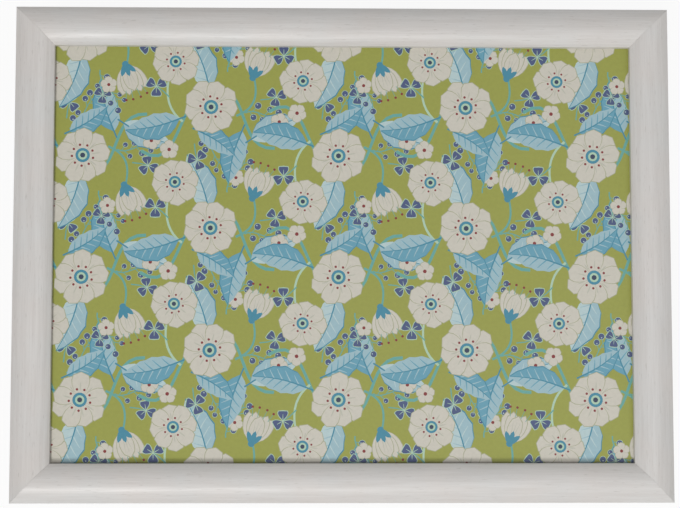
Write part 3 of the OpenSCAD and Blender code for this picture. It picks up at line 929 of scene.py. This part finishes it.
def cushion_form():
    """Vertices, faces, a UV for each face corner, the vertices that are sewn or stapled,
    and for each vertex of the side its place along the seam and its share of the height."""
    counts = nx, ny = PANEL_GRID
    belly = WELT_Z - WELT_R * 0.4
    seam = rounded(TOP_A, TOP_B, CORNER, SEAM_OUT - SEAM_IN, counts)
    vertices, faces, uvs = [], [], []
    place = {}
    for j, row in enumerate(patch(seam, counts)):
        for i, p in enumerate(row):
            u, v = 2 * i / nx - 1, 2 * j / ny - 1
            share = math.sqrt((1 - u ** 4) * (1 - v ** 4))
            place[i, j] = len(vertices)
            vertices.append(Vector((p.x, p.y, WELT_Z - belly * share)))
    for j in range(ny):
        for i in range(nx):
            face = (place[i, j], place[i, j + 1], place[i + 1, j + 1], place[i + 1, j])
            faces.append(face)
            uvs += [vertices[k].xy for k in face]
    loop = [place[spot] for spot in rim_of(counts)]
    held = list(loop)
    folds = {}
    around = [0.0]
    for k, index in enumerate(loop):
        step = (vertices[loop[(k + 1) % len(loop)]] - vertices[index]).length
        around.append(around[-1] + step)
    height = 0.0
    for rise in range(1, SIDE_ROWS + 1):
        t = rise / SIDE_ROWS
        out = SEAM_OUT * (1 - t) + (SWELL - SHRINK) * math.sin(math.pi * t) - TUCK * t ** 6
        z = WELT_Z + (cushion_hi.z - WELT_Z) * t
        sides = rounded(TOP_A, TOP_B, CORNER, out, counts)
        ring = []
        for k, p in enumerate(closed(sides)):
            folds[len(vertices)] = (around[k] / around[-1], t)
            ring.append(len(vertices))
            vertices.append(Vector((p.x, p.y, z)))
        above = height + (vertices[ring[0]] - vertices[loop[0]]).length
        for k in range(len(ring)):
            n = (k + 1) % len(ring)
            faces.append((loop[k], loop[n], ring[n], ring[k]))
            uvs += [(around[k], height), (around[k + 1], height),
                    (around[k + 1], above), (around[k], above)]
        height = above
        loop = ring
    top = dict(zip(rim_of(counts), loop))
    held += loop
    for j, row in enumerate(patch(sides, counts)):
        for i, p in enumerate(row):
            if (i, j) not in top:
                top[i, j] = len(vertices)
                held.append(len(vertices))
                vertices.append(Vector((p.x, p.y, cushion_hi.z)))
    for j in range(ny):
        for i in range(nx):
            face = (top[i, j], top[i + 1, j], top[i + 1, j + 1], top[i, j + 1])
            faces.append(face)
            uvs += [vertices[k].xy for k in face]
    return vertices, faces, uvs, held, folds


def stuffed(piece, held):
    """Swells a closed cloth form under pressure. The cloth is cut a little too wide, so
    that it puckers, and no point moves further than the cap."""
    mesh = piece.data
    before = [v.co.copy() for v in mesh.vertices]
    dice = random.Random(17)
    piece.vertex_groups.new(name="held").add(held, 1, "REPLACE")
    loose = set(range(len(before))) - set(held)
    start = piece.shape_key_add(name="start")
    cut = piece.shape_key_add(name="cut")
    wide, tall = 1 + CLOTH_SPARE, 1 + CLOTH_SPARE / 2
    for i, p in enumerate(before):
        cut.data[i].co = (p.x * wide, p.y * wide, p.z * tall)
        if i in loose:
            jitter = [dice.uniform(-CLOTH_JITTER, CLOTH_JITTER) for _ in range(3)]
            start.data[i].co = p + Vector(jitter)
    cloth = piece.modifiers.new("stuffing", "CLOTH")
    settings = cloth.settings
    settings.quality = 5
    settings.mass = 0.25
    settings.tension_stiffness = 18
    settings.compression_stiffness = 18
    settings.shear_stiffness = 6
    settings.bending_stiffness = 0.15
    settings.use_pressure = True
    settings.uniform_pressure_force = 4
    settings.vertex_group_mass = "held"
    settings.pin_stiffness = 1
    settings.rest_shape_key = cut
    settings.effector_weights.gravity = 0
    cloth.collision_settings.use_collision = False
    scene = bpy.context.scene
    for frame_number in range(1, CLOTH_FRAMES + 1):
        scene.frame_set(frame_number)
    graph = bpy.context.evaluated_depsgraph_get()
    after = [v.co.copy() for v in piece.evaluated_get(graph).data.vertices]
    piece.modifiers.remove(cloth)
    piece.shape_key_clear()
    scene.frame_set(1)
    for vertex, old, new in zip(mesh.vertices, before, after):
        move = new - old
        if move.length > CLOTH_CAP:
            move *= CLOTH_CAP / move.length
        place = old + move
        place.z = min(max(place.z, 0.0), cushion_hi.z)
        vertex.co = place
    mesh.update()


def gather(piece, folds):
    """Small puckers that run up from the piping and down from the top seam."""
    for index, (along, height) in folds.items():
        turn = 2 * math.pi * along
        low = math.sin(46 * turn + 2.2 * math.sin(9 * turn))
        low *= LOW_PUCKER * (0.6 + 0.4 * math.sin(13 * turn))
        high = math.sin(38 * turn + 2.6 * math.sin(7 * turn + 1))
        high *= HIGH_PUCKER * (0.6 + 0.4 * math.sin(17 * turn))
        size = low * math.exp(-height / 0.45) + high * math.exp((height - 1) / 0.5)
        vertex = piece.data.vertices[index]
        out = Vector((vertex.normal.x, vertex.normal.y, 0.3 * vertex.normal.z))
        vertex.co += out * (size * min(1.0, 12 * height))
        vertex.co.z = min(vertex.co.z, cushion_hi.z)


def cover():
    """The canvas cover, stuffed and puckered."""
    vertices, faces, uvs, held, folds = cushion_form()
    piece = piece_from("cushion_cover", vertices, faces, "canvas")
    cloth_uv(piece, uvs)
    stuffed(piece, held)
    gather(piece, folds)
    smooth = piece.modifiers.new("smooth", "SUBSURF")
    smooth.levels = smooth.render_levels = 1
    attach(piece, "box")
    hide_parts("cushion")


def piping():
    """The welt round the seam, a little wavy, its cloth cut on the bias."""
    path = closed(rounded(TOP_A, TOP_B, CORNER, SEAM_OUT, WELT_STEPS))
    dice = random.Random(23)
    for i, p in enumerate(path):
        p.z = WELT_Z
        wave = math.sin(i * 0.9) * 0.12 + dice.uniform(-0.08, 0.08)
        path[i] = p + p.normalized() * (wave * MM)
    piece = piece_from("cushion_piping", *tube(path, WELT_R, WELT_SIDES), "piping")
    step = sum((b - a).length for a, b in zip(path, path[1:])) / (len(path) - 1)
    girth_step = 2 * math.pi * WELT_R / WELT_SIDES
    uvs = []
    for i in range(len(path)):
        for k in range(WELT_SIDES):
            for di, dk in ((0, 0), (0, 1), (1, 1), (1, 0)):
                u, v = (i + di) * step, (k + dk) * girth_step
                uvs.append((u + v, u - v))
    cloth_uv(piece, uvs)
    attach(piece, "box")


cover()
piping()


# Hem: the cushion's cloth, turned out under the box and stapled there

STAPLE_PITCH = 46 * MM
EDGE_WAVES = 10
HEM_GRID = (130, 96)
HEM_EDGE = 9 * MM
HEM_DROP = 0.75 * MM
HEM_DRAW_IN = 1.1 * MM
HEM_THICK = 0.9 * MM
HEM_GAP = 0.02 * MM
HEM_SPARE = 0.3 * MM


def hem():
    """A sheet whose edge drops a little and draws in between the staples."""
    half = (flange_hi.x, flange_hi.y)
    box_half = (-wall_lo.x, wall_hi.y)
    counts = HEM_GRID
    waves = []
    for k in (0, 1):
        span = 2 * (box_half[k] - CORNER)
        waves.append(span / math.ceil(span / STAPLE_PITCH))
    dice = random.Random(31)
    drift = [dice.uniform(0.6, 1.0) for _ in range(4 * EDGE_WAVES)]
    vertices = []
    for j in range(counts[1] + 1):
        for i in range(counts[0] + 1):
            x = half[0] * (2 * i / counts[0] - 1)
            y = half[1] * (2 * j / counts[1] - 1)
            pull = 0.0
            for k, (along, across) in enumerate(((x, y), (y, x))):
                near = max(0.0, 1 - (half[1 - k] - abs(across)) / HEM_EDGE)
                shift = (along + box_half[k] - CORNER) / waves[k]
                loose = 0.5 - 0.5 * math.cos(2 * math.pi * shift)
                if -0.02 < shift < 2 * (box_half[k] - CORNER) / waves[k] + 0.02:
                    size = drift[int(shift) + EDGE_WAVES * ((across > 0) + 2 * k)]
                    pull = max(pull, near * loose * size)
            drop = HEM_DROP * pull
            inset = HEM_DRAW_IN * pull
            vertices.append((x - math.copysign(inset, x) * (abs(x) / half[0]) ** 8,
                             y - math.copysign(inset, y) * (abs(y) / half[1]) ** 8,
                             flange_hi.z - HEM_GAP - (HEM_SPARE + drop) * 0.5))
    piece = piece_from("cushion_hem", vertices, grid_faces(*counts), "canvas")
    cloth_uv(piece, [vertices[loop.vertex_index][:2] for loop in piece.data.loops])
    body = piece.modifiers.new("thickness", "SOLIDIFY")
    body.thickness = HEM_THICK
    body.offset = -1
    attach(piece, "box")
    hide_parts("cushion_flange")


hem()


# Stage: floor, light and camera

FLOOR_SIZE = 6.0
FLOOR_STEPS = 8
FLOOR_Z = -0.05 * MM
FLOOR_GLOW = 0.9
WORLD_LIGHT = 0.43

# The camera's lens in mm, its lean to the left and to the front in degrees, and the
# point of the panel that it looks at
LENS = 95.03
CAMERA_LEAN = (-1.34, -4.88)
CAMERA_AIM = Vector((-2.1, -0.8, 109.8)) * MM
CAMERA_DISTANCE = 1.2


def floor():
    """A pale floor that glows nearly white where it is seen, and keeps the shadow."""
    steps = FLOOR_STEPS
    vertices = [(FLOOR_SIZE * (i / steps - 0.5), FLOOR_SIZE * (j / steps - 0.5), FLOOR_Z)
                for j in range(steps + 1) for i in range(steps + 1)]
    mesh = bpy.data.meshes.new("floor")
    mesh.from_pydata(vertices, [], grid_faces(steps, steps))
    piece = put_in_scene("floor", mesh)
    s = Shader("floor", {"Base Color": linear((246, 246, 246)), "Roughness": 0.9,
                         "Specular IOR Level": 0.0})
    glow = s.add("Emission", {"Color": (1, 1, 1, 1), "Strength": 1.0}).outputs[0]
    seen = s.math("MULTIPLY", s.backdrop_rays(), FLOOR_GLOW)
    both = s.add("MixShader", {0: seen, 1: s.surface.outputs[0], 2: glow}).outputs[0]
    output = s.tree.nodes["Material Output"]
    s.tree.links.new(both, output.inputs["Surface"])
    mesh.materials.append(s.material)


def world():
    """Soft white light from all round, seen as full white."""
    studio = bpy.data.worlds.new("studio")
    studio.use_nodes = True
    bpy.context.scene.world = studio
    light = Nodes(studio.node_tree)
    strength = light.levels(light.backdrop_rays(), 0.0, 1.0, WORLD_LIGHT, 1.0)
    background = studio.node_tree.nodes["Background"]
    light.set(background, {"Color": (1, 1, 1, 1), "Strength": strength})


def lamp(name, place, size, watts, colour):
    """A round soft lamp, aimed at the object."""
    data = bpy.data.lights.new(name, "AREA")
    data.shape = "DISK"
    data.size = size
    data.energy = watts
    data.color = colour
    piece = put_in_scene(name, data)
    piece.location = place
    aim = Vector((0, 0, 0.1)) - Vector(place)
    piece.rotation_mode = "QUATERNION"
    piece.rotation_quaternion = aim.to_track_quat("-Z", "Y")


def camera():
    """Nearly overhead, leaning a little to the front and the left."""
    data = bpy.data.cameras.new("camera")
    data.sensor_width = 36
    data.lens = LENS
    data.clip_start = 0.05
    piece = put_in_scene("camera", data)
    back = Vector([math.tan(math.radians(lean)) for lean in CAMERA_LEAN] + [1]).normalized()
    right = Vector((0, 1, 0)).cross(back).normalized()
    up = back.cross(right)
    place = CAMERA_AIM + back * CAMERA_DISTANCE
    turn = Matrix((right, up, back)).transposed().to_4x4()
    piece.matrix_world = Matrix.Translation(place) @ turn
    bpy.context.scene.camera = piece


floor()
world()
lamp("key", (-0.55, -2.0, 2.9), 0.9, 45, (1.0, 0.99, 0.98))
lamp("fill", (0.55, -0.3, 1.9), 1.4, 5.0, (0.985, 0.99, 1.0))
camera()
bpy.context.scene.view_settings.view_transform = "Standard"
